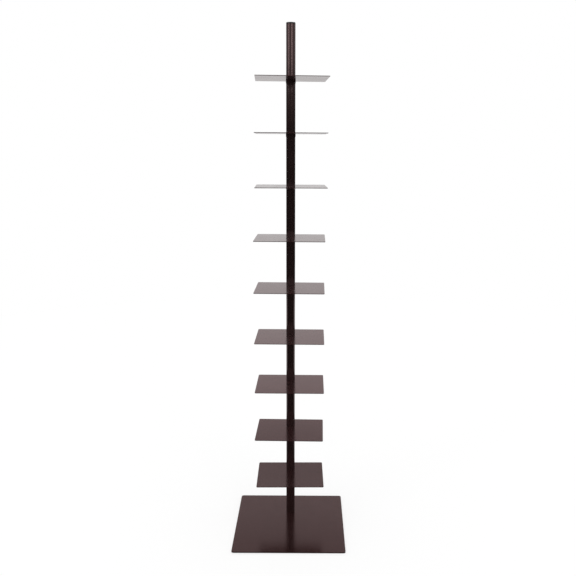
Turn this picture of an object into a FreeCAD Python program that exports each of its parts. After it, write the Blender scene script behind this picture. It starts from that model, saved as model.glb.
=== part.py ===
"""Free-standing spine bookshelf in painted steel.

A square base plate stands on four pads and carries one slim round spine. The spine is a stack of
short tubes. Each tube but the top one ends in a turned collar, and each has a tapped plug pressed
into its foot. A shelf plate lies on every collar, with a threaded stud through its one hole, and
the next tube screws down on the stud, which grips the plate between collar and tube. The lowest
tube is held by a countersunk screw from under the base, and a cap closes the top one.

Units are millimetres. +Z is up and -Y is the front. The origin lies on the floor, under the
centre of the base plate. Sections and shelves are numbered from the floor up.
"""

import FreeCAD, Part
import os

import Sketcher

# Driving sizes: alias, value and meaning.
SIZES = (
    ("base_width", 400, "base plate, side to side"),
    ("base_depth", 400, "base plate, front to back"),
    ("base_thickness", 4, "base plate steel"),
    ("base_corner_radius", 8, "plan corners of the base plate"),
    ("base_edge_bevel", 0.7, "eased rims of the base plate"),
    ("pad_diameter", 22, "floor pad"),
    ("pad_height", 2, "floor pad, and so the gap under the base plate"),
    ("pad_inset", 32, "pad centre to the two nearest sides of the base plate"),
    ("shelf_width", 244, "shelf plate, side to side"),
    ("shelf_depth", 200, "shelf plate, front to back"),
    ("shelf_back_reach", 47, "shelf plate's back edge behind the spine's axis"),
    ("shelf_thickness", 2, "shelf plate steel"),
    ("shelf_corner_radius", 5, "plan corners of a shelf plate"),
    ("shelf_spacing", 179, "one shelf's top face to the next, and base to lowest shelf"),
    ("spine_setback", 82, "spine's axis behind the middle of the base plate"),
    ("spine_diameter", 32, "outside of the tubes"),
    ("spine_wall", 1.5, "tube wall"),
    ("spine_overrun", 180, "top tube's length above the top shelf"),
    ("collar_diameter", 34, "collar that a shelf plate lies on"),
    ("collar_height", 12, "collar between the tube's end and the shelf plate"),
    ("collar_taper", 4, "height of the cone between collar and tube"),
    ("collar_edge", 0.6, "bevel round the collar's rim"),
    ("spigot_length", 18, "collar's spigot inside the tube"),
    ("plug_length", 20, "tapped plug in the foot of a tube"),
    ("thread_diameter", 8, "studs and foot screw"),
    ("thread_engagement", 14, "stud inside the collar, and again inside the plug"),
    ("thread_bevel", 1, "bevelled ends of the studs and of the foot screw"),
    ("foot_screw_engagement", 15, "foot screw inside the lowest plug"),
    ("hex_key", 4, "socket of the studs, across flats"),
    ("hex_depth", 4, "socket of the studs"),
    ("foot_hex_key", 5, "socket of the foot screw, across flats"),
    ("foot_hex_depth", 3, "socket of the foot screw"),
    ("cap_height", 5, "head of the cap above the top tube"),
    ("cap_edge_bevel", 1, "eased rim of the cap's head"),
    ("cap_skirt", 14, "cap's skirt inside the top tube"),
    ("cap_wall", 2, "wall of the cap's skirt"),
    ("press_gap", 0.05, "radial gap between a tube and what is pressed into it"),
    ("thread_gap", 0.05, "radial gap between a stud or screw and its tapped hole"),
    ("hole_gap", 0.3, "radial gap between a stud or screw and the plate it passes through"),
)

# How far each shelf plate is turned on the spine, in degrees, counted from the floor up. The plates
# are only gripped, so each one ends a little off square with the base.
SHELF_TURNS = (0.75, -1, -0.25, -0.5, -0.75, -0.5, 2, 2, 3.5)

# Heights and radii that several pieces share, as expressions on the sheet.
BASE_TOP = "(Sizes.pad_height + Sizes.base_thickness)"
TUBE_RADIUS = "Sizes.spine_diameter / 2"
TUBE_BORE = f"({TUBE_RADIUS} - Sizes.spine_wall)"
PRESSED_RADIUS = f"({TUBE_BORE} - Sizes.press_gap)"
THREAD_RADIUS = "(Sizes.thread_diameter / 2)"
TAPPED_RADIUS = f"({THREAD_RADIUS} + Sizes.thread_gap)"
PASSING_RADIUS = f"({THREAD_RADIUS} + Sizes.hole_gap)"
COLLAR_RADIUS = "Sizes.collar_diameter / 2"
STUD_LENGTH = "(2 * Sizes.thread_engagement + Sizes.shelf_thickness)"

FULL_TURN = 360
FLAT = 1e-6


def add_sheet(doc):
    """Puts the driving sizes and the shelf turns into the sheet, one alias each."""
    sheet = doc.addObject("Spreadsheet::Sheet", "Sizes")
    turns = [
        (f"shelf_{number}_turn", turn, f"turn of shelf {number} on the spine, in degrees")
        for number, turn in enumerate(SHELF_TURNS, 1)
    ]
    for row, (alias, value, meaning) in enumerate([*SIZES, *turns], 1):
        sheet.set(f"A{row}", meaning)
        sheet.set(f"B{row}", str(value))
        sheet.setAlias(f"B{row}", alias)
    doc.recompute()


def add_body(doc, name, depth="0", height="0"):
    """Starts a piece whose own origin lies at the given depth and height behind the front frame."""
    body = doc.addObject("PartDesign::Body", name)
    body.Label = name
    body.setExpression("Placement.Base.y", depth)
    body.setExpression("Placement.Base.z", height)
    return body


def add_spine_body(doc, name, height):
    """Starts a piece whose own origin lies on the spine's axis at the given height."""
    return add_body(doc, name, "Sizes.spine_setback", height)


def seat_height(section):
    """Height on which a section of the spine stands: the base, or the shelf below it."""
    return f"{BASE_TOP} + {section - 1} * Sizes.shelf_spacing"


def underside_height(shelf):
    """Height of a shelf plate's underside, which is the top of the collar that carries it."""
    return f"{BASE_TOP} + {shelf} * Sizes.shelf_spacing - Sizes.shelf_thickness"


def add_sketch(body, name, role, offset=None):
    """Adds a sketch on one of the body's own origin planes, moved along its normal by offset."""
    plane = next(item for item in body.Origin.OriginFeatures if item.Role == role)
    sketch = body.newObject("Sketcher::SketchObject", name)
    sketch.AttachmentSupport = [(plane, "")]
    sketch.MapMode = "FlatFace"
    if offset:
        sketch.setExpression("AttachmentOffset.Base.z", offset)
    return sketch


def bind(sketch, constraint, expression):
    """Adds a dimension and ties it to an expression on the sheet."""
    index = sketch.addConstraint(constraint)
    sketch.setExpression(f"Constraints[{index}]", expression)


def value_of(sketch, expression):
    """The number that an expression has now, used to draw geometry near its final place."""
    return float(sketch.evalExpression(expression))


def pin_point(sketch, geometry, end, across, along):
    """Dimensions one end of a line, or a centre, from the sketch's origin."""
    start_x = value_of(sketch, across)
    start_y = value_of(sketch, along)
    bind(sketch, Sketcher.Constraint("DistanceX", -1, 1, geometry, end, start_x), across)
    bind(sketch, Sketcher.Constraint("DistanceY", -1, 1, geometry, end, start_y), along)


def draw_outline(sketch, corners):
    """Draws a closed outline of straight sides through corners, each a pair of expressions."""
    places = [
        FreeCAD.Vector(value_of(sketch, across), value_of(sketch, along), 0)
        for across, along in corners
    ]
    sides = len(corners)
    for index in range(sides):
        side = Part.LineSegment(places[index], places[(index + 1) % sides])
        sketch.addGeometry(side, False)
    for index, (across, along) in enumerate(corners):
        joint = Sketcher.Constraint("Coincident", index, 2, (index + 1) % sides, 1)
        sketch.addConstraint(joint)
        pin_point(sketch, index, 1, across, along)


def turn_profile(body, name, corners):
    """Turns a half section about the piece's own upright axis."""
    sketch = add_sketch(body, f"{name}_section", "XZ_Plane")
    draw_outline(sketch, corners)
    turned = body.newObject("PartDesign::Revolution", f"{name}_turned")
    turned.Profile = sketch
    turned.ReferenceAxis = (sketch, ["V_Axis"])
    turned.Angle = FULL_TURN
    return turned


def draw_circle(sketch, radius, across="0", along="0"):
    """Draws a dimensioned circle."""
    centre = FreeCAD.Vector(value_of(sketch, across), value_of(sketch, along), 0)
    circle = Part.Circle(centre, FreeCAD.Vector(0, 0, 1), value_of(sketch, radius))
    index = sketch.addGeometry(circle, False)
    bind(sketch, Sketcher.Constraint("Radius", index, value_of(sketch, radius)), radius)
    pin_point(sketch, index, 3, across, along)


def pad(body, sketch, name, thickness):
    """Raises a sketch into a solid."""
    raised = body.newObject("PartDesign::Pad", name)
    raised.Profile = sketch
    raised.setExpression("Length", thickness)
    return raised


def edges_of(feature, wanted):
    """Names of the feature's edges that satisfy the wanted test, which gets edge and shape."""
    feature.Document.recompute()
    shape = feature.Shape
    return [f"Edge{index}" for index, edge in enumerate(shape.Edges, 1) if wanted(edge, shape)]


def round_edges(body, name, before, radius, wanted):
    """Rounds the edges of the feature before that satisfy the wanted test."""
    rounded = body.newObject("PartDesign::Fillet", name)
    rounded.Base = (before, edges_of(before, wanted))
    rounded.setExpression("Radius", radius)
    return rounded


def bevel_edges(body, name, before, size, wanted):
    """Bevels the edges of the feature before that satisfy the wanted test."""
    bevelled = body.newObject("PartDesign::Chamfer", name)
    bevelled.Base = (before, edges_of(before, wanted))
    bevelled.setExpression("Size", size)
    return bevelled


def is_upright(edge, shape):
    """Whether an edge runs along Z."""
    return edge.BoundBox.XLength < FLAT and edge.BoundBox.YLength < FLAT


def is_level(edge, shape):
    """Whether an edge lies in one horizontal plane."""
    return edge.BoundBox.ZLength < FLAT


def is_highest(edge, shape):
    """Whether an edge lies in the top plane of the shape."""
    return edge.BoundBox.ZMin > shape.BoundBox.ZMax - FLAT


def add_plate(body, name, outline, thickness, corner_radius):
    """Cuts a plate to an outline and rounds its plan corners."""
    sketch = add_sketch(body, f"{name}_outline", "XY_Plane")
    draw_outline(sketch, outline)
    blank = pad(body, sketch, f"{name}_blank", thickness)
    return round_edges(body, f"{name}_corners", blank, corner_radius, is_upright)


def cut(body, kind, name, sizes, **options):
    """Adds a cutting feature and checks that it took something away.

    The sizes map the feature's properties to expressions on the sheet.
    """
    body.Document.recompute()
    before = body.Shape.Volume
    cutter = body.newObject(f"PartDesign::{kind}", name)
    for option, value in options.items():
        setattr(cutter, option, value)
    for path, expression in sizes.items():
        cutter.setExpression(path, expression)
    body.Document.recompute()
    if body.Shape.Volume >= before:
        raise ValueError(f"{name} cuts nothing")
    return cutter


def draw_hexagon(sketch, across_flats):
    """Draws a regular hexagon round the sketch's origin."""
    corners = [
        (
            f"{across_flats} / sqrt(3) * cos({angle} deg)",
            f"{across_flats} / sqrt(3) * sin({angle} deg)",
        )
        for angle in range(0, FULL_TURN, 60)
    ]
    draw_outline(sketch, corners)


def make_base_plate(doc):
    """Square floor plate with eased rims and one countersunk hole under the spine."""
    body = add_body(doc, "base_plate", height="Sizes.pad_height")
    outline = [
        (f"{side} * Sizes.base_width / 2", f"{end} * Sizes.base_depth / 2")
        for side, end in ((-1, -1), (1, -1), (1, 1), (-1, 1))
    ]
    plate = add_plate(body, "base", outline, "Sizes.base_thickness", "Sizes.base_corner_radius")
    bevel_edges(body, "base_rims", plate, "Sizes.base_edge_bevel", is_level)
    countersink = {
        "Radius1": f"{PASSING_RADIUS} + Sizes.base_thickness",
        "Radius2": PASSING_RADIUS,
        "Height": "Sizes.base_thickness",
        "Placement.Base.y": "Sizes.spine_setback",
    }
    cut(body, "SubtractiveCone", "foot_screw_countersink", countersink)
    return body


def make_base_pads(doc):
    """Four thin round pads under the corners of the base plate."""
    body = add_body(doc, "base_pads")
    sketch = add_sketch(body, "pad_circles", "XY_Plane")
    for side, end in ((-1, -1), (1, -1), (1, 1), (-1, 1)):
        across = f"{side} * (Sizes.base_width / 2 - Sizes.pad_inset)"
        along = f"{end} * (Sizes.base_depth / 2 - Sizes.pad_inset)"
        draw_circle(sketch, "Sizes.pad_diameter / 2", across, along)
    pad(body, sketch, "pad_discs", "Sizes.pad_height")
    return body


def make_foot_screw(doc):
    """Countersunk socket screw, flush with the underside of the base plate."""
    body = add_spine_body(doc, "foot_screw", "Sizes.pad_height")
    end = "(Sizes.base_thickness + Sizes.foot_screw_engagement)"
    turn_profile(
        body,
        "screw",
        [
            ("0", "0"),
            (f"{THREAD_RADIUS} + Sizes.base_thickness", "0"),
            (THREAD_RADIUS, "Sizes.base_thickness"),
            (THREAD_RADIUS, f"{end} - Sizes.thread_bevel"),
            (f"{THREAD_RADIUS} - Sizes.thread_bevel", end),
            ("0", end),
        ],
    )
    socket = add_sketch(body, "screw_socket_outline", "XY_Plane")
    draw_hexagon(socket, "Sizes.foot_hex_key")
    depth = {"Length": "Sizes.foot_hex_depth"}
    cut(body, "Pocket", "screw_socket", depth, Profile=socket, Reversed=True)
    return body


def make_tube(doc, section, top):
    """Plain tube of one section of the spine, which ends under its collar or under the cap."""
    body = add_spine_body(doc, f"spine_tube_{section}", seat_height(section))
    sketch = add_sketch(body, f"tube_{section}_rings", "XY_Plane")
    draw_circle(sketch, TUBE_RADIUS)
    draw_circle(sketch, TUBE_BORE)
    collared = "Sizes.shelf_spacing - Sizes.shelf_thickness - Sizes.collar_height"
    pad(body, sketch, f"tube_{section}_wall", "Sizes.spine_overrun" if top else collared)
    return body


def make_plug(doc, section):
    """Tapped plug pressed flush into the foot of one tube."""
    body = add_spine_body(doc, f"spine_plug_{section}", seat_height(section))
    sketch = add_sketch(body, f"plug_{section}_rings", "XY_Plane")
    draw_circle(sketch, PRESSED_RADIUS)
    draw_circle(sketch, TAPPED_RADIUS)
    pad(body, sketch, f"plug_{section}_blank", "Sizes.plug_length")
    return body


def make_collar(doc, shelf):
    """Turned collar on top of one tube: flat seat, bevelled rim, cone and a tapped spigot."""
    body = add_spine_body(doc, f"spine_collar_{shelf}", underside_height(shelf))
    spigot_end = "-(Sizes.collar_height + Sizes.spigot_length)"
    turn_profile(
        body,
        f"collar_{shelf}",
        [
            (TAPPED_RADIUS, "0"),
            (f"{COLLAR_RADIUS} - Sizes.collar_edge", "0"),
            (COLLAR_RADIUS, "-Sizes.collar_edge"),
            (COLLAR_RADIUS, "Sizes.collar_taper - Sizes.collar_height"),
            (TUBE_RADIUS, "-Sizes.collar_height"),
            (PRESSED_RADIUS, "-Sizes.collar_height"),
            (PRESSED_RADIUS, spigot_end),
            (TAPPED_RADIUS, spigot_end),
        ],
    )
    return body


def make_studs(doc, shelves):
    """The socket studs that join the sections, one through each shelf plate, as one group."""
    start = f"{underside_height(1)} - Sizes.thread_engagement"
    body = add_spine_body(doc, "joining_studs", start)
    stud = turn_profile(
        body,
        "stud",
        [
            ("0", "0"),
            (f"{THREAD_RADIUS} - Sizes.thread_bevel", "0"),
            (THREAD_RADIUS, "Sizes.thread_bevel"),
            (THREAD_RADIUS, f"{STUD_LENGTH} - Sizes.thread_bevel"),
            (f"{THREAD_RADIUS} - Sizes.thread_bevel", STUD_LENGTH),
            ("0", STUD_LENGTH),
        ],
    )
    outline = add_sketch(body, "stud_socket_outline", "XY_Plane", STUD_LENGTH)
    draw_hexagon(outline, "Sizes.hex_key")
    socket = cut(body, "Pocket", "stud_socket", {"Length": "Sizes.hex_depth"}, Profile=outline)
    row = body.newObject("PartDesign::LinearPattern", "stud_row")
    row.Originals = [stud, socket]
    row.Direction = (next(i for i in body.Origin.OriginFeatures if i.Role == "Z_Axis"), [""])
    row.Occurrences = shelves
    row.setExpression("Length", f"{shelves - 1} * Sizes.shelf_spacing")
    body.Tip = row
    return body


def make_shelf(doc, shelf):
    """Shelf plate with the one hole by which it is gripped on the spine."""
    body = add_spine_body(doc, f"shelf_{shelf}", underside_height(shelf))
    body.setExpression("Placement.Rotation.Angle", f"Sizes.shelf_{shelf}_turn")
    back = "Sizes.shelf_back_reach"
    front = f"{back} - Sizes.shelf_depth"
    outline = [
        ("-Sizes.shelf_width / 2", front),
        ("Sizes.shelf_width / 2", front),
        ("Sizes.shelf_width / 2", back),
        ("-Sizes.shelf_width / 2", back),
    ]
    name = f"shelf_{shelf}"
    add_plate(body, name, outline, "Sizes.shelf_thickness", "Sizes.shelf_corner_radius")
    hole = add_sketch(body, f"{name}_hole_circle", "XY_Plane")
    draw_circle(hole, PASSING_RADIUS)
    cut(body, "Pocket", f"{name}_hole", {}, Profile=hole, Reversed=True, Type="ThroughAll")
    return body


def make_cap(doc, shelves):
    """Flat cap with an eased rim and a hollow skirt pressed into the top tube."""
    body = add_spine_body(doc, "top_cap", f"{seat_height(shelves + 1)} + Sizes.spine_overrun")
    skirt_bore = f"{PRESSED_RADIUS} - Sizes.cap_wall"
    head = turn_profile(
        body,
        "cap",
        [
            ("0", "0"),
            (skirt_bore, "0"),
            (skirt_bore, "-Sizes.cap_skirt"),
            (PRESSED_RADIUS, "-Sizes.cap_skirt"),
            (PRESSED_RADIUS, "0"),
            (TUBE_RADIUS, "0"),
            (TUBE_RADIUS, "Sizes.cap_height"),
            ("0", "Sizes.cap_height"),
        ],
    )
    bevel_edges(body, "cap_rim", head, "Sizes.cap_edge_bevel", is_highest)
    return body


def build(doc):
    """Builds every piece of the bookshelf, from the floor up."""
    shelves = len(SHELF_TURNS)
    pieces = [make_base_pads(doc), make_base_plate(doc), make_foot_screw(doc)]
    for section in range(1, shelves + 2):
        pieces.append(make_plug(doc, section))
        pieces.append(make_tube(doc, section, top=section > shelves))
    for shelf in range(1, shelves + 1):
        pieces.append(make_collar(doc, shelf))
        pieces.append(make_shelf(doc, shelf))
    pieces.append(make_studs(doc, shelves))
    pieces.append(make_cap(doc, shelves))
    doc.recompute()
    return pieces


def check(doc, pieces):
    """Stops if any feature failed or any piece has no sound shape."""
    for item in doc.Objects:
        if "Invalid" in item.State or "Error" in item.State:
            raise ValueError(f"{item.Name} failed: {item.State}")
    for piece in pieces:
        if piece.Shape.isNull() or not piece.Shape.isValid():
            raise ValueError(f"{piece.Label} has no sound shape")


def main():
    """Builds, checks and writes one STEP file for each piece."""
    doc = FreeCAD.newDocument("spine_bookshelf")
    add_sheet(doc)
    pieces = build(doc)
    check(doc, pieces)
    os.makedirs("parts", exist_ok=True)
    for piece in pieces:
        piece.Shape.exportStep(f"parts/{piece.Label}.step")
        print(f"{piece.Label}: {len(piece.Shape.Solids)} solid(s), {piece.Shape.Volume:.0f} mm3")


main()
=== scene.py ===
"""Looks of the spine bookshelf: gloss red-brown paint on steel plates and a slim round spine.

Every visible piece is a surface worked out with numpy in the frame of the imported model, in metres.
Turned pieces are a rounded profile carried round the spine's axis. Plates are a rounded rectangle
and a round hole, with rings of points between them. The hidden steel pieces keep their own meshes
and only get a finish.
"""

from __future__ import annotations

import logging
import math
from collections.abc import Sequence
from dataclasses import dataclass
from enum import Enum
from functools import cache

import bpy
import numpy as np
from mathutils import Matrix, Vector


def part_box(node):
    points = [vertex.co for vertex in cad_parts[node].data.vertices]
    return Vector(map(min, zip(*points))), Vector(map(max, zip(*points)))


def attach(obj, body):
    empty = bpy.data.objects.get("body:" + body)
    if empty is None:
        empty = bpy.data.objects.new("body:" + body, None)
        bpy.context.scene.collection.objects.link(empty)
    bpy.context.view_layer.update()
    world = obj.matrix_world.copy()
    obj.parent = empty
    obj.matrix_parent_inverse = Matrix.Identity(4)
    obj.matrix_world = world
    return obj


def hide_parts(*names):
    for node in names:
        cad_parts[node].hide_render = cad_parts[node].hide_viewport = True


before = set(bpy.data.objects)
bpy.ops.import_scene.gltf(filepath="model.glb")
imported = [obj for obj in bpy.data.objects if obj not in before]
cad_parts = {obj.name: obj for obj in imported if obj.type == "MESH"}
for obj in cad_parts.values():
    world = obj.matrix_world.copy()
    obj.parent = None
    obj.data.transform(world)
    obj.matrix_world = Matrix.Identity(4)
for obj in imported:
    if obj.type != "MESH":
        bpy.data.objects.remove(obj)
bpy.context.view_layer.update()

log = logging.getLogger("spine_bookshelf")

MM = 0.001
RIM = "rim"
FILM_WIDTH = 36.0

Colour = tuple[float, float, float]
Span = tuple[float, float]

WHITE: Colour = (1.0, 1.0, 1.0)


class Slot(Enum):
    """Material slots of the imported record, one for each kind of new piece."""

    BASE_PAINT = "base_paint"
    SHELF_PAINT = "shelf_paint"
    SPINE_PAINT = "spine_paint"
    COLLAR_PAINT = "collar_paint"
    FLOOR_PADS = "floor_pads"
    CAP_PLASTIC = "cap_plastic"


class Body(Enum):
    """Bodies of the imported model. It has no joints, so there is one."""

    ROOT = "root"


# --------------------------------------------------------------------------------------------------
# Shader graphs
# --------------------------------------------------------------------------------------------------


class Signal:
    """A socket that can stand in a Python expression, which adds Math nodes to its graph."""

    def __init__(self, graph: Graph, socket: bpy.types.NodeSocket) -> None:
        """Keeps the graph that nodes are added to and the socket that carries the value."""
        self.graph = graph
        self.socket = socket

    def math(self, operation: str, *values: Input, clamp: bool = False) -> Signal:
        """Adds one Math node.

        Args:
            operation: the Math node's operation.
            values: its inputs in order.
            clamp: whether the result is kept between 0 and 1.

        Returns:
            The node's result.
        """
        settings = {"operation": operation, "use_clamp": clamp}
        return self.graph.node("ShaderNodeMath", settings, dict(enumerate(values)))

    def __add__(self, other: Input) -> Signal:
        """Sum."""
        return self.math("ADD", self, other)

    __radd__ = __add__

    def __sub__(self, other: Input) -> Signal:
        """Difference."""
        return self.math("SUBTRACT", self, other)

    def __rsub__(self, other: Input) -> Signal:
        """Difference with the value on the left."""
        return self.math("SUBTRACT", other, self)

    def __mul__(self, other: Input) -> Signal:
        """Product."""
        return self.math("MULTIPLY", self, other)

    __rmul__ = __mul__

    def __abs__(self) -> Signal:
        """Value without its sign."""
        return self.math("ABSOLUTE", self)

    def fade(self, start: float, end: float) -> Signal:
        """Smooth step: t * t * (3 - 2 * t), where t runs from 0 at start to 1 at end.

        Args:
            start: value at which the step begins.
            end: value at which the step is complete.

        Returns:
            The step's height, between 0 and 1.
        """
        share = self.math("MULTIPLY", self - start, 1 / (end - start), clamp=True)
        return share * share * (3 - 2 * share)


Input = Signal | float | tuple


@dataclass
class Graph:
    """A node tree that is filled one node at a time."""

    tree: bpy.types.NodeTree

    def node(
        self,
        kind: str,
        settings: dict[str, object] | None = None,
        inputs: dict[str | int, Input] | None = None,
        output: str | int | None = 0,
    ) -> Signal | None:
        """Adds a node, sets it up and fills its inputs.

        Args:
            kind: the node's type.
            settings: the node's own properties, set first.
            inputs: values or signals by the input's name or number.
            output: name or number of the output to return, or None for a node without outputs.

        Returns:
            The chosen output.
        """
        added = self.tree.nodes.new(kind)
        for name, value in (settings or {}).items():
            setattr(added, name, value)
        for name, value in (inputs or {}).items():
            self.feed(added.inputs[name], value)
        return None if output is None else Signal(self, added.outputs[output])

    def feed(self, socket: bpy.types.NodeSocket, value: Input) -> None:
        """Links a signal to a socket, or writes a constant on the socket.

        Args:
            socket: the input to fill.
            value: a signal, a number, a vector or a colour.
        """
        if isinstance(value, Signal):
            self.tree.links.new(value.socket, socket)
        elif socket.type == "RGBA":
            socket.default_value = (*value, 1.0)
        else:
            socket.default_value = value

    def show(self, kind: str, shader: Signal) -> None:
        """Adds the tree's output node and links the finished shader to it."""
        self.node(kind, None, {"Surface": shader}, output=None)

    def place(self) -> Signal:
        """Position in the piece's own frame, in metres."""
        return self.node("ShaderNodeTexCoord", output="Object")

    def part(self, vector: Signal, axis: str) -> Signal:
        """One part of a vector, along the axis X, Y or Z."""
        return self.node("ShaderNodeSeparateXYZ", None, {"Vector": vector}, axis)

    def rim(self) -> Signal:
        """Rim number of a new piece: 1 on the crest of a rounded rim and 0 away from it."""
        return self.node("ShaderNodeAttribute", {"attribute_name": RIM}, output="Fac")

    def noise(self, place: Signal, size: float, detail: float = 2.0) -> Signal:
        """Soft noise between 0 and 1, about 0.5 on average.

        Args:
            place: position in metres.
            size: distance from one blotch to the next in metres.
            detail: number of finer layers.

        Returns:
            The noise.
        """
        inputs = {"Vector": place, "Scale": 1 / size, "Detail": detail}
        return self.node("ShaderNodeTexNoise", None, inputs)

    def stretch(self, place: Signal, factors: tuple[float, float, float]) -> Signal:
        """Scales a position axis by axis. A small factor draws a pattern out along its axis."""
        return self.node("ShaderNodeVectorMath", {"operation": "MULTIPLY"}, {0: place, 1: factors})

    def blend(self, share: Input, low: Input, high: Input) -> Signal:
        """Mixes two colours. The Mix node takes them at inputs 6 and 7 and gives them at output 2.

        Args:
            share: 0 for the low colour, 1 for the high one.
            low: first colour.
            high: second colour.

        Returns:
            The mixed colour.
        """
        inputs = {"Factor": share, 6: low, 7: high}
        return self.node("ShaderNodeMix", {"data_type": "RGBA"}, inputs, output=2)

    def bump(self, height: Signal, depth: float) -> Signal:
        """Normal of a surface that is raised by the height's share of the depth in metres."""
        return self.node("ShaderNodeBump", None, {"Height": height, "Distance": depth})


# --------------------------------------------------------------------------------------------------
# Finishes
# --------------------------------------------------------------------------------------------------


@dataclass(frozen=True)
class Finish:
    """A surface finish, which becomes one shared material.

    Attributes:
        name: the material's name.
        colour: main colour, in linear light.
        roughness: main roughness.
    """

    name: str
    colour: Colour
    roughness: float

    @cache
    def material(self) -> bpy.types.Material:
        """Makes the finish's material at the first call, and gives the same one after that.

        Returns:
            The material.
        """
        made = bpy.data.materials.new(self.name)
        made.use_nodes = True
        made.node_tree.nodes.clear()
        graph = Graph(made.node_tree)
        shader = graph.node("ShaderNodeBsdfPrincipled", None, self.sockets(graph))
        graph.show("ShaderNodeOutputMaterial", shader)
        return made

    def shade(self, factor: float) -> Colour:
        """The main colour, made lighter or darker by a factor."""
        return tuple(channel * factor for channel in self.colour)

    def sockets(self, graph: Graph) -> dict[str, Input]:
        """Values of the Principled shader's sockets, which each kind of finish gives."""
        raise NotImplementedError


@dataclass(frozen=True)
class GlossPaint(Finish):
    """Stoved gloss paint on steel: cloudy tone, orange peel, handling smudges, worn rims with a
    painted highlight.

    Attributes:
        sheen: tint of the paint's mirror reflection.
        gloss: level of that reflection, where 0.5 is a plain lacquer's.
        cloud_size: distance from one cloud of tone to the next.
        cloud_depth: share by which the clouds lighten and darken the colour.
        cloud_span: noise at which a cloud begins and is full.
        smudge_size: distance from one smudge to the next.
        smudge_depth: how much the smudges change the roughness.
        peel_size: distance from one dimple of the orange peel to the next.
        peel_depth: height of the orange peel.
        wear_and_highlight_gain: how many times lighter the paint is on a rim patch: worn paint with
            a painted highlight.
        wear_and_highlight_span: noise at which such a rim patch begins and is full.
        rub_roughness: how much rougher the paint is there.
    """

    sheen: Colour
    gloss: float = 1.0
    cloud_size: float = 60 * MM
    cloud_depth: float = 0.06
    cloud_span: Span = (0.3, 0.7)
    smudge_size: float = 40 * MM
    smudge_depth: float = 0.10
    peel_size: float = 2.5 * MM
    peel_depth: float = 0.004 * MM
    wear_and_highlight_gain: float = 2.2
    wear_and_highlight_span: Span = (0.42, 0.6)
    rub_roughness: float = 0.08

    def sockets(self, graph: Graph) -> dict[str, Input]:
        """Tone from the clouds and the worn rims with their painted highlight, roughness from the
        smudges, normal from the peel.

        Args:
            graph: the material's graph.

        Returns:
            Values of the Principled shader's sockets.
        """
        place = graph.place()
        clouds = graph.noise(place, self.cloud_size, detail=3).fade(*self.cloud_span)
        smudges = graph.noise(place, self.smudge_size, detail=4)
        # Rim patches take a lighter copy of the paint colour: worn paint and a painted highlight on
        # the rims.
        worn_and_highlit_rims = graph.rim() * smudges.fade(*self.wear_and_highlight_span)
        dark, light = self.shade(1 - self.cloud_depth), self.shade(1 + self.cloud_depth)
        tone = graph.blend(clouds, dark, light)
        smudged = self.roughness + (smudges - 0.5) * self.smudge_depth
        return {
            "Base Color": graph.blend(worn_and_highlit_rims, tone, self.shade(self.wear_and_highlight_gain)),
            "Roughness": smudged + worn_and_highlit_rims * self.rub_roughness,
            "Specular IOR Level": self.gloss,
            "Specular Tint": self.sheen,
            "Normal": graph.bump(graph.noise(place, self.peel_size, detail=1), self.peel_depth),
        }


@dataclass(frozen=True)
class TurnedSteel(Finish):
    """Bare or zinc-plated steel with fine turning marks round its upright axis.

    Attributes:
        mark_size: distance from one turning mark to the next.
        mark_depth: depth of the marks.
        mark_roughness: how much rougher the steel is in a mark.
        mark_drawing: factors of the position that draw the marks out level.
        stain: share by which stains darken the colour.
        stain_size: distance from one stain to the next.
        stain_span: noise at which a stain begins and is full.
        stain_roughness: how much rougher the steel is in a stain.
    """

    mark_size: float = 0.25 * MM
    mark_depth: float = 0.006 * MM
    mark_roughness: float = 0.15
    mark_drawing: tuple[float, float, float] = (0.02, 0.02, 1.0)
    stain: float = 0.3
    stain_size: float = 6 * MM
    stain_span: Span = (0.35, 0.7)
    stain_roughness: float = 0.1

    def sockets(self, graph: Graph) -> dict[str, Input]:
        """Level marks all round, drawn out by a position that hardly changes sideways.

        Args:
            graph: the material's graph.

        Returns:
            Values of the Principled shader's sockets.
        """
        place = graph.place()
        marks = graph.noise(graph.stretch(place, self.mark_drawing), self.mark_size)
        stains = graph.noise(place, self.stain_size, detail=4).fade(*self.stain_span)
        marked = self.roughness + marks * self.mark_roughness
        return {
            "Base Color": graph.blend(stains, self.colour, self.shade(1 - self.stain)),
            "Metallic": 1.0,
            "Roughness": marked + stains * self.stain_roughness,
            "Normal": graph.bump(marks, self.mark_depth),
        }


@dataclass(frozen=True)
class PadRubber(Finish):
    """Dull rubber with a fine grain and a film of floor dust.

    Attributes:
        grain_size: distance from one grain to the next.
        grain_depth: height of the grain.
        dust: colour of the dust.
        dust_size: distance from one patch of dust to the next.
        dust_span: noise at which a patch begins and is full.
        dust_roughness: how much rougher the rubber is under dust.
    """

    grain_size: float = 0.5 * MM
    grain_depth: float = 0.03 * MM
    dust: Colour = (0.12, 0.11, 0.10)
    dust_size: float = 9 * MM
    dust_span: Span = (0.45, 0.8)
    dust_roughness: float = 0.1

    def sockets(self, graph: Graph) -> dict[str, Input]:
        """Dust in soft patches over the grained rubber.

        Args:
            graph: the material's graph.

        Returns:
            Values of the Principled shader's sockets.
        """
        place = graph.place()
        dusty = graph.noise(place, self.dust_size, detail=4).fade(*self.dust_span)
        return {
            "Base Color": graph.blend(dusty, self.colour, self.dust),
            "Roughness": self.roughness + dusty * self.dust_roughness,
            "Normal": graph.bump(graph.noise(place, self.grain_size), self.grain_depth),
        }


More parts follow.
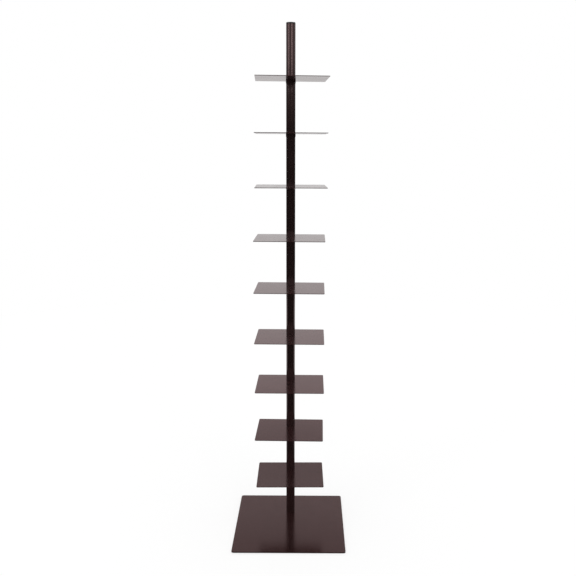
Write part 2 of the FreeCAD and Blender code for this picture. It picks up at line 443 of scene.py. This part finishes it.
@dataclass(frozen=True)
class CapPlastic(Finish):
    """Moulded gloss plastic with a faint spark texture and fine scuffs on its rim.

    Attributes:
        spark_size: distance from one pit of the texture to the next.
        spark_depth: depth of the texture.
        scuff: how many times lighter the plastic is where its rim is scuffed.
        scuff_size: distance from one scuff to the next.
        scuff_span: noise at which a scuff begins and is full.
        scuff_roughness: how much rougher the plastic is there.
    """

    spark_size: float = 0.4 * MM
    spark_depth: float = 0.004 * MM
    scuff: float = 1.8
    scuff_size: float = 3 * MM
    scuff_span: Span = (0.4, 0.65)
    scuff_roughness: float = 0.2

    def sockets(self, graph: Graph) -> dict[str, Input]:
        """Scuffs where the rim is handled, on an even moulded ground.

        Args:
            graph: the material's graph.

        Returns:
            Values of the Principled shader's sockets.
        """
        place = graph.place()
        handled = graph.noise(place, self.scuff_size, detail=4).fade(*self.scuff_span)
        scuffs = graph.rim() * handled
        return {
            "Base Color": graph.blend(scuffs, self.colour, self.shade(self.scuff)),
            "Roughness": self.roughness + scuffs * self.scuff_roughness,
            "Normal": graph.bump(graph.noise(place, self.spark_size), self.spark_depth),
        }


PLATE_PAINT = GlossPaint("plate_gloss", (0.0160, 0.0062, 0.0062), 0.18, sheen=(1.0, 0.5, 0.5))
SPINE_PAINT = GlossPaint("spine_gloss", (0.0110, 0.0052, 0.0050), 0.15, sheen=(1.0, 0.68, 0.68))
COLLAR_PAINT = GlossPaint("collar_gloss", (0.0100, 0.0050, 0.0048), 0.18, sheen=(1.0, 0.68, 0.68))
PLUG_STEEL = TurnedSteel("bare_turned_steel", (0.55, 0.55, 0.56), 0.28)
ZINC_STEEL = TurnedSteel("zinc_plated_steel", (0.42, 0.42, 0.43), 0.32)
PAD_RUBBER = PadRubber("pad_rubber", (0.03, 0.03, 0.03), 0.78)
CAP_PLASTIC = CapPlastic("gloss_cap_plastic", (0.006, 0.005, 0.005), 0.22)


# --------------------------------------------------------------------------------------------------
# Surfaces
# --------------------------------------------------------------------------------------------------


@dataclass(frozen=True)
class Corner:
    """A corner of a section, in metres.

    Attributes:
        across: distance from the axis, or from a plate's edge.
        height: height in the frame.
        rounding: radius of the rounding, 0 at the ends of an open section.
    """

    across: float
    height: float
    rounding: float = 0.0


@dataclass(frozen=True)
class Section:
    """Points of a rounded section.

    Attributes:
        points: one row of across and height for each point.
        rims: one number for each point, 1 on the crest of a rounded rim and 0 away from it.
        closed: whether the last point joins the first.
    """

    points: np.ndarray
    rims: np.ndarray
    closed: bool


def unit(vectors: np.ndarray) -> np.ndarray:
    """Vectors divided by their lengths."""
    return vectors / np.linalg.norm(vectors, axis=-1, keepdims=True)


def rounded(corners: Sequence[Corner], closed: bool, steps: int = 5) -> Section:
    """Rounds the corners of a section.

    Formula: let a and b be the unit directions from a corner to its two neighbours and h half the
    angle between them. The arc's centre is the corner + rounding / sin(h) * unit(a + b), and its
    start is the corner + rounding / tan(h) * a. With e the unit direction from the centre to that
    start, the arc's point at share s is centre + rounding * (cos(w s) e - sin(w s) a), where
    w = pi - 2 h. One more point lies half a rounding before the arc and one as far after it, which
    keeps the flats flat. The rim number is sin(pi s) on the arc and 0 elsewhere.

    Args:
        corners: the corners in order. Those of an open section start and end with a plain point.
        closed: whether the last corner joins the first.
        steps: number of pieces in each arc.

    Returns:
        The rounded section.
    """
    rows = np.array([(corner.across, corner.height, corner.rounding) for corner in corners])
    ring = np.concatenate((rows[-1:], rows, rows[:1])) if closed else rows
    places, rounding = ring[1:-1, :2], ring[1:-1, 2:]
    back = unit(ring[:-2, :2] - places)
    ahead = unit(ring[2:, :2] - places)
    half = np.arccos(np.sum(back * ahead, axis=1, keepdims=True)) / 2
    centre = places + rounding / np.sin(half) * unit(back + ahead)
    start = places + rounding / np.tan(half) * back
    end = places + rounding / np.tan(half) * ahead
    spoke = (start - centre) / rounding

    share = np.linspace(0, 1, steps + 1)
    turn = ((np.pi - 2 * half) * share)[..., None]
    arcs = centre[:, None] + rounding[:, None] * (
        np.cos(turn) * spoke[:, None] - np.sin(turn) * back[:, None]
    )
    before = (start + rounding / 2 * back)[:, None]
    after = (end + rounding / 2 * ahead)[:, None]
    points = np.concatenate((before, arcs, after), axis=1).reshape(-1, 2)
    rims = np.tile(np.concatenate(([0], np.sin(np.pi * share), [0])), len(places))
    if not closed:
        points = np.concatenate((rows[:1, :2], points, rows[-1:, :2]))
        rims = np.concatenate(([0], rims, [0]))
    return Section(points, rims, closed)


@dataclass(frozen=True)
class Surface:
    """Points, faces and rim numbers of one closed shell.

    Attributes:
        points: one row of x, y and z for each point.
        faces: point numbers of each face, counter-clockwise seen from outside.
        rims: one number for each point.
    """

    points: np.ndarray
    faces: list[list[int]]
    rims: np.ndarray

    @classmethod
    def woven(cls, grid: np.ndarray, rims: np.ndarray, closed: bool) -> Surface:
        """Joins a grid of points into faces.

        Each row of the grid is a ring. The rings of a closed grid come back to the first one. An
        open grid's first and last rings shrink to one point, which a fan of triangles joins to the
        ring beside it.

        Args:
            grid: points by ring and by place in the ring.
            rims: one number for each ring.
            closed: whether the last ring joins the first.

        Returns:
            The surface.
        """
        rings = grid if closed else grid[1:-1]
        count, sides = rings.shape[:2]
        number = np.arange(count * sides).reshape(count, sides)
        beside = np.roll(number, -1, axis=1)
        above, above_beside = (np.roll(ring, -1, axis=0) for ring in (number, beside))
        quads = np.stack((number, beside, above_beside, above), axis=-1)
        points = rings.reshape(-1, 3)
        if closed:
            return cls(points, quads.reshape(-1, 4).tolist(), np.repeat(rims, sides))
        low, high = np.full((2, sides), number.size) + [[0], [1]]
        fans = np.concatenate(
            (
                np.stack((low, beside[0], number[0]), axis=-1),
                np.stack((high, number[-1], beside[-1]), axis=-1),
            )
        )
        return cls(
            np.concatenate((points, grid[0, :1], grid[-1, :1])),
            quads[:-1].reshape(-1, 4).tolist() + fans.tolist(),
            np.concatenate((np.repeat(rims[1:-1], sides), rims[[0, -1]])),
        )

    @classmethod
    def joined(cls, parts: Sequence[Surface]) -> Surface:
        """Puts several closed shells into one surface.

        Args:
            parts: the shells.

        Returns:
            The surface.
        """
        starts = np.cumsum([0] + [len(part.points) for part in parts[:-1]]).tolist()
        faces = [
            [start + number for number in face]
            for start, part in zip(starts, parts)
            for face in part.faces
        ]
        points = np.concatenate([part.points for part in parts])
        return cls(points, faces, np.concatenate([part.rims for part in parts]))


def turned(section: Section, axis: tuple[float, float], sides: int = 96) -> Surface:
    """Carries a section round an upright axis.

    Formula: the point at turn u and place v is
    (axis x + across(v) cos u, axis y + across(v) sin u, height(v)).

    Args:
        section: across is the distance from the axis. An open section starts and ends on it.
        axis: x and y of the axis.
        sides: number of points in a ring.

    Returns:
        The turned surface.
    """
    turn = np.linspace(0, 2 * np.pi, sides, endpoint=False)
    across, height = section.points.T[..., None]
    grid = np.stack(
        (axis[0] + across * np.cos(turn), axis[1] + across * np.sin(turn), height + 0 * turn),
        axis=-1,
    )
    return Surface.woven(grid, section.rims, section.closed)


@dataclass(frozen=True)
class Plate:
    """A flat plate with rounded plan corners, rounded rims and one round hole, in metres.

    Attributes:
        middle: x and y of the plate's middle.
        width: side to side.
        depth: front to back.
        floor: height of the underside.
        top: height of the top face.
        corner: radius of the plan corners.
        rim: rounding of the rims.
        hole: x and y of the hole, about which the plate is turned.
        bore: radius of the hole in the top face.
        sink: radius of the hole in the underside.
        turn: turn about the hole in radians.
    """

    middle: tuple[float, float]
    width: float
    depth: float
    floor: float
    top: float
    corner: float
    rim: float
    hole: tuple[float, float]
    bore: float
    sink: float
    turn: float = 0.0

    def outline(
        self, arc_steps: int = 8, side_steps: int = 12, margin: float = 0.01
    ) -> tuple[np.ndarray, np.ndarray]:
        """Walks round the plate's plan.

        Formula: at each plan corner the core point stays at the corner's centre while the normal
        swings through a quarter turn. Along each side the normal stays and the core point moves in
        a straight line to the next centre.

        Args:
            arc_steps: pieces in a plan corner.
            side_steps: pieces in a side.
            margin: share of a side that its first and last points keep from the corners.

        Returns:
            The core points and the normals.
        """
        signs = np.array([(1, 1), (-1, 1), (-1, -1), (1, -1)])
        centres = signs * (np.array([self.width, self.depth]) / 2 - self.corner)
        swing = np.linspace(0, np.pi / 2, arc_steps + 1) + np.arange(4)[:, None] * np.pi / 2
        swings = np.stack((np.cos(swing), np.sin(swing)), axis=-1)
        inner = np.linspace(0, 1, side_steps + 1)[1:-1]
        share = np.concatenate(([margin], inner, [1 - margin]))[:, None]
        straight = centres[:, None] * (1 - share) + np.roll(centres, -1, axis=0)[:, None] * share
        still = np.repeat(centres[:, None], arc_steps + 1, axis=1)
        core = np.concatenate((still, straight), axis=1)
        held = np.repeat(swings[:, -1:], len(share), axis=1)
        normal = np.concatenate((swings, held), axis=1)
        return core.reshape(-1, 2) + self.middle, normal.reshape(-1, 2)

    def surface(self, blend_rings: int = 3, reach: float = 3 * MM) -> Surface:
        """Weaves the plate from rings round its section.

        Formula: a ring of the outer rim is core + (corner + across) * normal, and a ring of the
        hole is hole + across * unit(outline - hole). Rings on the two faces are blends of the rim's
        last ring and the hole's first one. All are then turned about the hole.

        Args:
            blend_rings: rings on each face between rim and hole.
            reach: width of the flat band that belongs to the rim's own rings.

        Returns:
            The plate's surface.
        """
        hole_rim = self.rim / 3
        edge = rounded(
            (
                Corner(-reach, self.floor),
                Corner(0, self.floor, self.rim),
                Corner(0, self.top, self.rim),
                Corner(-reach, self.top),
            ),
            closed=False,
        )
        bore = rounded(
            (
                Corner(self.bore + reach, self.top),
                Corner(self.bore, self.top, hole_rim),
                Corner(self.sink, self.floor, hole_rim),
                Corner(self.sink + reach, self.floor),
            ),
            closed=False,
        )
        core, normal = self.outline()
        away = unit(core + self.corner * normal - self.hole)
        outer = self.rings(edge, core + self.corner * normal, normal)
        inner = self.rings(bore, np.broadcast_to(self.hole, away.shape), away)
        share = (np.arange(1, blend_rings + 1) / (blend_rings + 1))[:, None, None]
        upper = outer[-1] * (1 - share) + inner[0] * share
        lower = inner[-1] * (1 - share) + outer[0] * share
        grid = np.concatenate((outer, upper, inner, lower))
        blank = np.zeros(blend_rings)
        rims = np.concatenate((edge.rims, blank, bore.rims, blank))
        return Surface.woven(self.turned_plan(grid), rims, closed=True)

    @staticmethod
    def rings(section: Section, start: np.ndarray, direction: np.ndarray) -> np.ndarray:
        """Carries a section outwards in the plan: a point is at start + across * direction.

        Args:
            section: the section, which gives one ring for each of its points.
            start: x and y at which each point of a ring sets out.
            direction: unit direction in which it goes.

        Returns:
            Points by ring and by place in the ring.
        """
        across, height = section.points.T[:, :, None, None]
        plan = start + across * direction
        return np.concatenate((plan, np.broadcast_to(height, (*plan.shape[:2], 1))), axis=-1)

    def turned_plan(self, grid: np.ndarray) -> np.ndarray:
        """Turns points about the hole.

        Formula, with x and y from the hole: x' = x cos t - y sin t and y' = x sin t + y cos t.

        Args:
            grid: the points.

        Returns:
            The turned points.
        """
        cosine, sine = math.cos(self.turn), math.sin(self.turn)
        swing = np.array([[cosine, sine, 0], [-sine, cosine, 0], [0, 0, 1]])
        pivot = np.array([*self.hole, 0])
        return (grid - pivot) @ swing + pivot


# --------------------------------------------------------------------------------------------------
# Sub-assemblies
# --------------------------------------------------------------------------------------------------


class SubAssembly:
    """What the sub-assemblies share: meshes made from surfaces, and finishes put on them."""

    def add(
        self, name: str, surface: Surface, finish: Finish, slot: Slot, node: str
    ) -> bpy.types.Object:
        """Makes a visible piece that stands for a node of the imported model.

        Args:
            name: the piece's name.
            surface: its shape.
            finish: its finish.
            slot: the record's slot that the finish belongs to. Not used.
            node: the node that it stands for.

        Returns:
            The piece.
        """
        mesh = bpy.data.meshes.new(name)
        mesh.from_pydata(surface.points.tolist(), [], surface.faces)
        mesh.shade_smooth()
        rim = mesh.attributes.new(RIM, "FLOAT", "POINT")
        rim.data.foreach_set("value", surface.rims.astype(np.float32))
        mesh.materials.append(finish.material())
        piece = bpy.data.objects.new(name, mesh)
        bpy.context.scene.collection.objects.link(piece)
        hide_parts(node)
        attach(piece, Body.ROOT.value)
        log.info("%s: %d points in place of %s", name, len(surface.points), node)
        return piece

    def dress(self, node: str, finish: Finish) -> None:
        """Puts a finish on a node that keeps its own mesh.

        Args:
            node: the node's name.
            finish: its finish.
        """
        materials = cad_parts[node].data.materials
        materials.clear()
        materials.append(finish.material())
        log.info("%s: %s", node, finish.name)


@dataclass
class Base(SubAssembly):
    """The square floor plate, its four pads and the foot screw.

    Attributes:
        corner: radius of the plan corners.
        rim: rounding of the rims.
        screw_hole: radius of the foot screw's hole in the top face.
        pad_rim: rounding of the pads' lower rims.
        pad_inset: pad centre to the two nearest sides.
        pad_radius: radius of a pad.
        pad_sides: number of points in a ring of a pad.
    """

    corner: float = 8 * MM
    rim: float = 0.4 * MM
    screw_hole: float = 4.3 * MM
    pad_rim: float = 0.4 * MM
    pad_inset: float = 32 * MM
    pad_radius: float = 11 * MM
    pad_sides: int = 48

    def make(self, spine: tuple[float, float]) -> None:
        """Makes the plate and the pads and dresses the screw.

        The screw's hole is countersunk at 45 degrees through the whole plate, so it gets wider by
        the plate's thickness on the way down.

        Args:
            spine: x and y of the spine's axis.
        """
        low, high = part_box("base_plate")
        thickness = high.z - low.z
        plate = Plate(
            middle=((low.x + high.x) / 2, (low.y + high.y) / 2),
            width=high.x - low.x,
            depth=high.y - low.y,
            floor=low.z,
            top=high.z,
            corner=self.corner,
            rim=self.rim,
            hole=spine,
            bore=self.screw_hole,
            sink=self.screw_hole + thickness,
        )
        self.add("painted_base", plate.surface(), PLATE_PAINT, Slot.BASE_PAINT, "base_plate")
        section = self.pad_section(low.z)
        across, along = high.x - self.pad_inset, high.y - self.pad_inset
        pads = [
            turned(section, (side * across, end * along), self.pad_sides)
            for side in (-1, 1)
            for end in (-1, 1)
        ]
        self.add("rubber_pads", Surface.joined(pads), PAD_RUBBER, Slot.FLOOR_PADS, "base_pads")
        self.dress("foot_screw", ZINC_STEEL)

    def pad_section(self, height: float) -> Section:
        """Half section of a pad, from the floor up to the plate's underside.

        Args:
            height: height of the underside.

        Returns:
            The section.
        """
        corners = (
            Corner(0, 0),
            Corner(self.pad_radius, 0, self.pad_rim),
            Corner(self.pad_radius, height, self.pad_rim / 2),
            Corner(0, height),
        )
        return rounded(corners, closed=False)


@dataclass
class Spine(SubAssembly):
    """The stack of tubes with its collars, plugs, studs and cap.

    Attributes:
        sections: number of tubes.
        wall: wall of the tubes.
        tube_rim: rounding of the tubes' ends.
        collar_radius: radius of a collar's rim.
        collar_height: collar between the tube's end and the shelf.
        collar_taper: height of the cone between collar and tube.
        collar_rim: rounding of the collar's rim.
        press_gap: gap between a tube and what is pressed into it.
        tapped_radius: radius of the collars' tapped hole.
        cap_height: cap's head above the top tube.
        cap_rim: rounding of the cap's rim.
        cap_wall: wall of the cap's skirt inside the top tube.
    """

    sections: int = 10
    wall: float = 1.5 * MM
    tube_rim: float = 0.3 * MM
    collar_radius: float = 17 * MM
    collar_height: float = 12 * MM
    collar_taper: float = 4 * MM
    collar_rim: float = 0.6 * MM
    press_gap: float = 0.05 * MM
    tapped_radius: float = 4.05 * MM
    cap_height: float = 5 * MM
    cap_rim: float = 1.0 * MM
    cap_wall: float = 2 * MM

    def axis(self) -> tuple[float, float]:
        """Place of the spine's axis, from the middle of its lowest tube."""
        low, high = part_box("spine_tube_1")
        return (low.x + high.x) / 2, (low.y + high.y) / 2

    def radius(self) -> float:
        """Outside radius of the tubes."""
        low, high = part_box("spine_tube_1")
        return (high.x - low.x) / 2

    def make(self) -> None:
        """Makes tubes, collars and cap from the floor up, and dresses the steel inside them."""
        axis = self.axis()
        for number in range(1, self.sections + 1):
            node = f"spine_tube_{number}"
            tube = turned(self.tube_section(node), axis)
            self.add(f"painted_tube_{number}", tube, SPINE_PAINT, Slot.SPINE_PAINT, node)
            self.dress(f"spine_plug_{number}", PLUG_STEEL)
        for number in range(1, self.sections):
            node = f"spine_collar_{number}"
            collar = turned(self.collar_section(node), axis)
            self.add(f"painted_collar_{number}", collar, COLLAR_PAINT, Slot.COLLAR_PAINT, node)
        cap = turned(self.cap_section(), axis)
        self.add("end_cap", cap, CAP_PLASTIC, Slot.CAP_PLASTIC, "top_cap")
        self.dress("joining_studs", ZINC_STEEL)

    def tube_section(self, node: str) -> Section:
        """Section of one tube's wall, up the outside and down the inside.

        Args:
            node: the tube's node.

        Returns:
            The section.
        """
        low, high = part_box(node)
        outside, inside = self.radius(), self.radius() - self.wall
        places = ((inside, low.z), (outside, low.z), (outside, high.z), (inside, high.z))
        return rounded([Corner(*place, self.tube_rim) for place in places], closed=True)

    def collar_section(self, node: str) -> Section:
        """Section of one collar: spigot, cone, rim and the flat seat under the shelf.

        Args:
            node: the collar's node.

        Returns:
            The section.
        """
        low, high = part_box(node)
        foot = high.z - self.collar_height
        pressed = self.radius() - self.wall - self.press_gap
        fine = self.collar_rim / 2
        corners = (
            Corner(self.tapped_radius, low.z, fine),
            Corner(pressed, low.z, fine),
            Corner(pressed, foot, fine / 3),
            Corner(self.radius(), foot, fine / 3),
            Corner(self.collar_radius, foot + self.collar_taper, self.collar_rim),
            Corner(self.collar_radius, high.z, self.collar_rim),
            Corner(self.tapped_radius, high.z, fine),
        )
        return rounded(corners, closed=True)

    def cap_section(self) -> Section:
        """Half section of the cap: hollow skirt, shoulder on the tube's end, and flat head.

        Returns:
            The section.
        """
        low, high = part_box("top_cap")
        seat = high.z - self.cap_height
        pressed = self.radius() - self.wall - self.press_gap
        hollow = pressed - self.cap_wall
        fine = self.cap_rim / 4
        corners = (
            Corner(0, seat),
            Corner(hollow, seat, fine),
            Corner(hollow, low.z, fine),
            Corner(pressed, low.z, fine),
            Corner(pressed, seat, fine),
            Corner(self.radius(), seat, fine),
            Corner(self.radius(), high.z, self.cap_rim),
            Corner(0, high.z),
        )
        return rounded(corners, closed=False)


@dataclass
class Shelves(SubAssembly):
    """The thin plates gripped in the spine, each a little off square as it was screwed up.

    Attributes:
        width: side to side.
        depth: front to back.
        back_reach: back edge behind the spine's axis.
        corner: radius of the plan corners.
        rim: rounding of the rims.
        stud_hole: radius of the hole for the stud.
        turns: turn of each plate in degrees, from the floor up.
    """

    width: float = 244 * MM
    depth: float = 200 * MM
    back_reach: float = 47 * MM
    corner: float = 5 * MM
    rim: float = 0.25 * MM
    stud_hole: float = 4.3 * MM
    turns: tuple[float, ...] = (0.75, -1, -0.25, -0.5, -0.75, -0.5, 2, 2, 3.5)

    def make(self, spine: tuple[float, float]) -> None:
        """Makes the shelf plates from the floor up.

        Args:
            spine: x and y of the spine's axis.
        """
        middle = (spine[0], spine[1] + self.back_reach - self.depth / 2)
        for number, turn in enumerate(self.turns, 1):
            node = f"shelf_{number}"
            low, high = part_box(node)
            plate = Plate(
                middle=middle,
                width=self.width,
                depth=self.depth,
                floor=low.z,
                top=high.z,
                corner=self.corner,
                rim=self.rim,
                hole=spine,
                bore=self.stud_hole,
                sink=self.stud_hole,
                turn=math.radians(turn),
            )
            name = f"painted_shelf_{number}"
            self.add(name, plate.surface(), PLATE_PAINT, Slot.SHELF_PAINT, node)


# --------------------------------------------------------------------------------------------------
# Studio
# --------------------------------------------------------------------------------------------------


@dataclass(frozen=True)
class SoftLamp:
    """A soft rectangular lamp on a stand.

    Attributes:
        name: its name.
        bearing: direction from the spine in degrees, 0 to the front, positive to the right.
        distance: from the spine's axis.
        height: height of its middle.
        width: its width.
        length: its upright length.
        power: in watts.
    """

    name: str
    bearing: float
    distance: float = 2.4
    height: float = 2.3
    width: float = 0.5
    length: float = 0.9
    power: float = 4.9


@dataclass(frozen=True)
class Step:
    """A smooth change of brightness between two heights of a direction.

    A direction's height is its upward share: 0 at the horizon and 1 straight up.

    Attributes:
        start: height at which the change begins.
        end: height at which it is complete.
        change: brightness that it adds, less than 0 where it dims.
    """

    start: float
    end: float
    change: float


def stepped(height: Signal, ground: float, steps: Sequence[Step]) -> Signal:
    """Brightness that changes in steps on the way up.

    Formula: ground + the sum of change * smooth step of the height from start to end.

    Args:
        height: height of the direction.
        ground: brightness below all steps.
        steps: the changes, from the horizon up.

    Returns:
        The brightness.
    """
    level = ground
    for step in steps:
        level = level + height.fade(step.start, step.end) * step.change
    return level


@dataclass
class Studio:
    """Pale floor, white surround, two soft lamps and the camera.

    Attributes:
        floor_radius: radius of the round floor.
        floor_sides: number of triangles in the floor.
        floor_glow: share of the floor's white that no shadow takes away.
        floor_span: y at which the floor in reflections starts to turn pale and is pale.
        dark: brightness of the room's front at and below the horizon, in reflections.
        pale: brightness of the backdrop at and below the horizon, in reflections.
        backdrop: steps of the backdrop's brightness, which never passes white.
        room: steps of the brightness of the room's front and sides.
        backdrop_narrowing: how fast the backdrop's share falls sideways.
        backdrop_blend: width of the blend between the backdrop and the room.
        warmth: steps of the share of the warm tint in reflections.
        warm: the warm tint.
        lamps: the soft lamps.
        camera_place: where the camera stands.
        camera_tilt: how far it looks down, in degrees.
        camera_pan: how far it looks to the left, in degrees, less than 0 to the right.
        camera_roll: its roll in degrees.
        camera_shift: sideways shift of the lens, as a share of the film's width.
        lens: focal length in millimetres on a film of FILM_WIDTH.
    """

    floor_radius: float = 4.0
    floor_sides: int = 96
    floor_glow: float = 0.72
    floor_span: Span = (0.3, 0.36)
    dark: float = 0.03
    pale: float = 0.92
    backdrop: tuple[Step, ...] = (
        Step(0.0, 0.05, 0.05),
        Step(0.13, 0.21, -0.15),
        Step(0.36, 0.42, -0.46),
        Step(0.456, 0.466, 0.64),
        Step(0.488, 0.506, -0.6),
    )
    room: tuple[Step, ...] = (
        Step(0.0, 0.05, 0.04),
        Step(0.065, 0.125, 0.45),
        Step(0.5, 0.9, -0.15),
    )
    backdrop_narrowing: float = 3.0
    backdrop_blend: float = 0.3
    warmth: tuple[Step, ...] = (Step(0.12, 0.34, 1.0), Step(0.38, 0.47, -1.0))
    warm: Colour = (1.0, 0.88, 0.89)
    lamps: tuple[SoftLamp, ...] = (SoftLamp("lamp_left", -48), SoftLamp("lamp_right", 28.5))
    camera_place: tuple[float, float, float] = (0.06424, -2.37611, 1.39160)
    camera_tilt: float = 11.541
    camera_pan: float = -0.159
    camera_roll: float = 0.367
    camera_shift: float = -0.03858
    lens: float = 43.145

    def make(self, spine: tuple[float, float]) -> None:
        """Sets up the studio round the spine.

        Args:
            spine: x and y of the spine's axis.
        """
        self.add_floor()
        self.add_surround()
        for lamp in self.lamps:
            self.add_lamp(lamp, spine)
        self.add_camera()
        bpy.context.scene.view_settings.view_transform = "Standard"

    def add_floor(self) -> None:
        """Adds a flat round floor: one fan of triangles round its middle."""
        turn = np.linspace(0, 2 * np.pi, self.floor_sides, endpoint=False)
        ring = np.stack((np.cos(turn), np.sin(turn), 0 * turn), axis=-1) * self.floor_radius
        number = np.arange(1, self.floor_sides + 1)
        fan = np.stack((0 * number, number, np.roll(number, -1)), axis=-1)
        mesh = bpy.data.meshes.new("studio_floor")
        mesh.from_pydata([(0, 0, 0), *ring.tolist()], [], fan.tolist())
        mesh.materials.append(self.floor_material())
        floor = bpy.data.objects.new("studio_floor", mesh)
        bpy.context.scene.collection.objects.link(floor)

    def floor_material(self) -> bpy.types.Material:
        """White floor that takes soft shadows.

        It is dim in reflections up to a line behind the spine, and see-through from below.

        Returns:
            The floor's material.
        """
        made = bpy.data.materials.new("studio_floor")
        made.use_nodes = True
        made.node_tree.nodes.clear()
        graph = Graph(made.node_tree)
        shade = graph.node("ShaderNodeBsdfDiffuse", None, {"Color": (1 - self.floor_glow,) * 3})
        glow = graph.node("ShaderNodeEmission", None, {"Strength": self.floor_glow})
        white = graph.node("ShaderNodeAddShader", None, {0: shade, 1: glow})
        far = graph.part(graph.place(), "Y").fade(*self.floor_span)
        strength = self.dark + far * (self.pale - self.dark)
        mirrored = graph.node("ShaderNodeEmission", None, {"Strength": strength})
        glossy = graph.node("ShaderNodeLightPath", output="Is Glossy Ray")
        upper = graph.node("ShaderNodeMixShader", None, {0: glossy, 1: white, 2: mirrored})
        below = graph.node("ShaderNodeNewGeometry", output="Backfacing")
        clear = graph.node("ShaderNodeBsdfTransparent")
        both = graph.node("ShaderNodeMixShader", None, {0: below, 1: upper, 2: clear})
        graph.show("ShaderNodeOutputMaterial", both)
        return made

    def add_surround(self) -> None:
        """Adds the white surround, which paint and steel reflect as a backdrop in a darker room.

        Formula, with x, y and z of the direction: the backdrop and the rest of the room are both
        stepped in z. The backdrop's share is the smooth step of y - backdrop_narrowing * |x| from 0
        to backdrop_blend, so it takes the back alone. Glossy rays see this mixture under the warm
        tint, and all other rays see plain white.
        """
        world = bpy.data.worlds.new("studio")
        world.use_nodes = True
        world.node_tree.nodes.clear()
        world.cycles.sampling_method = "NONE"
        bpy.context.scene.world = world
        graph = Graph(world.node_tree)
        direction = graph.node("ShaderNodeTexCoord", output="Generated")
        x, y, z = (graph.part(direction, axis) for axis in "XYZ")
        back = stepped(z, self.pale, self.backdrop)
        front = stepped(z, self.dark, self.room)
        behind = (y - abs(x) * self.backdrop_narrowing).fade(0.0, self.backdrop_blend)
        mirrored = front + (back - front) * behind
        glossy = graph.node("ShaderNodeLightPath", output="Is Glossy Ray")
        strength = 1 + (mirrored - 1) * glossy
        tint = graph.blend(glossy * stepped(z, 0.0, self.warmth), WHITE, self.warm)
        light = graph.node("ShaderNodeBackground", None, {"Color": tint, "Strength": strength})
        graph.show("ShaderNodeOutputWorld", light)

    def add_lamp(self, lamp: SoftLamp, spine: tuple[float, float]) -> None:
        """Stands one lamp up and turns it to the spine.

        Args:
            lamp: its sizes and place.
            spine: x and y of the spine's axis.
        """
        light = bpy.data.lights.new(lamp.name, "AREA")
        light.shape = "RECTANGLE"
        light.size, light.size_y = lamp.width, lamp.length
        light.energy = lamp.power
        bearing = math.radians(lamp.bearing)
        outward = Vector((math.sin(bearing), -math.cos(bearing), 0))
        stand = bpy.data.objects.new(lamp.name, light)
        stand.location = Vector((*spine, lamp.height)) + outward * lamp.distance
        stand.rotation_euler = (-outward).to_track_quat("-Z", "Y").to_euler()
        stand.visible_camera = False
        bpy.context.scene.collection.objects.link(stand)

    def add_camera(self) -> None:
        """Adds the camera: panned, tilted down from level, then rolled, and moved to its place."""
        data = bpy.data.cameras.new("camera")
        data.lens, data.sensor_width, data.sensor_fit = self.lens, FILM_WIDTH, "HORIZONTAL"
        data.shift_x = self.camera_shift
        camera = bpy.data.objects.new("camera", data)
        camera.matrix_world = (
            Matrix.Translation(self.camera_place)
            @ Matrix.Rotation(math.radians(self.camera_pan), 4, "Z")
            @ Matrix.Rotation(math.radians(90 - self.camera_tilt), 4, "X")
            @ Matrix.Rotation(math.radians(self.camera_roll), 4, "Z")
        )
        bpy.context.scene.collection.objects.link(camera)
        bpy.context.scene.camera = camera


def main() -> None:
    """Builds the bookshelf from the floor up, then the studio round it."""
    logging.basicConfig(level=logging.INFO, format="%(name)s: %(message)s")
    spine = Spine()
    Base().make(spine.axis())
    spine.make()
    Shelves().make(spine.axis())
    Studio().make(spine.axis())


if __name__ == "__main__":
    main()
